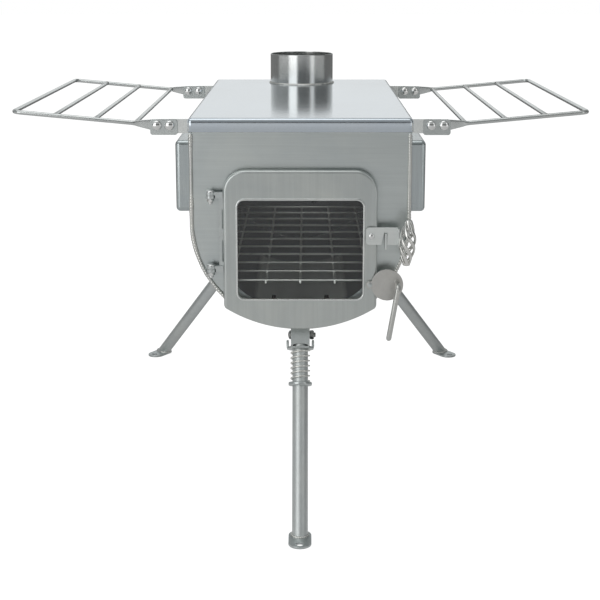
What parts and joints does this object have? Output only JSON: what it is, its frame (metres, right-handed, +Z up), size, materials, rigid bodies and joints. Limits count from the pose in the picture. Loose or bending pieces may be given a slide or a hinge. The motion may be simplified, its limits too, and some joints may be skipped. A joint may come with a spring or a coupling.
{
  "type": "folding tent wood stove",
  "caption": "Folding tent wood stove: U-shaped firebox with glass door and flue collar, spring-locked folding legs and fold-out wire shelves.",
  "frame": {"origin": "on the ground under the middle of the stove's overall box", "axes": "+Z up, -Y towards the door, +X to the right as seen from the front"},
  "size_m": [0.655, 0.7686, 0.509],
  "materials": {
    "satin_steel": "satin rolled stainless sheet",
    "brushed_steel": "fine brushed stainless sheet",
    "polished_steel": "polished stainless, mirror-like",
    "bright_wire": "bright stainless wire",
    "spring_wire": "bright spring wire",
    "grate_wire": "plain stainless wire",
    "dark_glass": "clear heat-proof glass before a dark firebox",
    "sealing_rope": "woven glass fibre"
  },
  "bodies": {
    "stove": {"body_shell": "satin_steel", "front_plate": "brushed_steel", "back_plate": "satin_steel", "lid": "polished_steel", "flue_collar": "brushed_steel", "door_seat": "satin_steel", "air_inlet_tube": "satin_steel", "side_box_left": "satin_steel", "side_box_right": "satin_steel", "side_glass_left": "dark_glass", "side_glass_right": "dark_glass", "side_frame_left": "satin_steel", "side_frame_right": "satin_steel", "fire_grate": "grate_wire", "hinge_lugs": "satin_steel", "hinge_bolts": "satin_steel", "latch_catch": "satin_steel", "shelf_ears": "satin_steel", "front_leg_bracket": "satin_steel", "rear_left_leg_bracket": "satin_steel", "rear_right_leg_bracket": "satin_steel", "front_leg_bolt": "satin_steel", "rear_left_leg_bolt": "satin_steel", "rear_right_leg_bolt": "satin_steel"},
    "door": {"door_skin": "brushed_steel", "window_glass": "dark_glass", "glass_tape": "sealing_rope", "glass_clips": "polished_steel", "glass_frame": "satin_steel", "seal_rope": "sealing_rope", "hinge_strip": "satin_steel", "hinge_knuckles": "satin_steel", "latch_screw": "polished_steel", "air_flap_rivet": "polished_steel"},
    "latch": {"latch_bar": "satin_steel", "cage_handle": "bright_wire"},
    "air_flap": {"air_disc": "satin_steel", "air_lever": "bright_wire"},
    "front_leg": {"front_leg_tube": "satin_steel", "front_leg_foot": "satin_steel", "front_spring_seat": "satin_steel", "front_spring": "spring_wire"},
    "front_ring": {"front_lock_ring": "satin_steel"},
    "rear_left_leg": {"rear_left_leg_tube": "satin_steel", "rear_left_leg_foot": "satin_steel", "rear_left_spring_seat": "satin_steel", "rear_left_spring": "spring_wire"},
    "rear_left_ring": {"rear_left_lock_ring": "satin_steel"},
    "rear_right_leg": {"rear_right_leg_tube": "satin_steel", "rear_right_leg_foot": "satin_steel", "rear_right_spring_seat": "satin_steel", "rear_right_spring": "spring_wire"},
    "rear_right_ring": {"rear_right_lock_ring": "satin_steel"},
    "left_links": {"left_shelf_links": "satin_steel", "left_link_rivets": "polished_steel"},
    "left_shelf": {"left_shelf_rack": "bright_wire"},
    "right_links": {"right_shelf_links": "satin_steel", "right_link_rivets": "polished_steel"},
    "right_shelf": {"right_shelf_rack": "bright_wire"}
  },
  "joints": [
    {"name": "door_hinge", "type": "hinge", "parent": "stove", "child": "door", "pos_m": [-0.1012, -0.28428, 0.342], "axis": [0, 0, -1], "range_deg": [0, 150]},
    {"name": "latch_lift", "type": "hinge", "parent": "door", "child": "latch", "pos_m": [0.0802, -0.28983, 0.336], "axis": [0, -1, 0], "range_deg": [0, 70]},
    {"name": "air_flap_turn", "type": "hinge", "parent": "door", "child": "air_flap", "pos_m": [0.0788, -0.29123, 0.2794], "axis": [0, -1, 0], "range_deg": [-90, 45]},
    {"name": "front_leg_fold", "type": "hinge", "parent": "stove", "child": "front_leg", "pos_m": [0, -0.26128, 0.212], "axis": [1, 0, 0], "range_deg": [0, 102]},
    {"name": "front_ring_slide", "type": "slide", "parent": "front_leg", "child": "front_ring", "axis": [0, -0.3955, -0.9184], "range_m": [0, 0.007], "stiffness_N_per_m": 1500, "springref_m": -0.01, "deforming": ["front_spring"]},
    {"name": "rear_left_leg_fold", "type": "hinge", "parent": "stove", "child": "rear_left_leg", "pos_m": [-0.07601, 0.20172, 0.23502], "axis": [-0.832, 0, 0.5548], "range_deg": [0, 110]},
    {"name": "rear_left_ring_slide", "type": "slide", "parent": "rear_left_leg", "child": "rear_left_ring", "axis": [-0.4741, 0.5195, -0.7109], "range_m": [0, 0.007], "stiffness_N_per_m": 1500, "springref_m": -0.01, "deforming": ["rear_left_spring"]},
    {"name": "rear_right_leg_fold", "type": "hinge", "parent": "stove", "child": "rear_right_leg", "pos_m": [0.07601, 0.20172, 0.23502], "axis": [-0.832, 0, -0.5548], "range_deg": [0, 110]},
    {"name": "rear_right_ring_slide", "type": "slide", "parent": "rear_right_leg", "child": "rear_right_ring", "axis": [0.4741, 0.5195, -0.7109], "range_m": [0, 0.007], "stiffness_N_per_m": 1500, "springref_m": -0.01, "deforming": ["rear_right_spring"]},
    {"name": "left_link_hinge", "type": "hinge", "parent": "stove", "child": "left_links", "pos_m": [-0.148, -0.05128, 0.457], "axis": [0, 1, 0], "range_deg": [0, 70]},
    {"name": "left_shelf_hinge", "type": "hinge", "parent": "left_links", "child": "left_shelf", "pos_m": [-0.1625, -0.05128, 0.457], "axis": [0, 1, 0], "range_deg": [0, 70]},
    {"name": "right_link_hinge", "type": "hinge", "parent": "stove", "child": "right_links", "pos_m": [0.148, -0.05128, 0.457], "axis": [0, -1, 0], "range_deg": [0, 70]},
    {"name": "right_shelf_hinge", "type": "hinge", "parent": "right_links", "child": "right_shelf", "pos_m": [0.1625, -0.05128, 0.457], "axis": [0, -1, 0], "range_deg": [0, 70]}
  ]
}
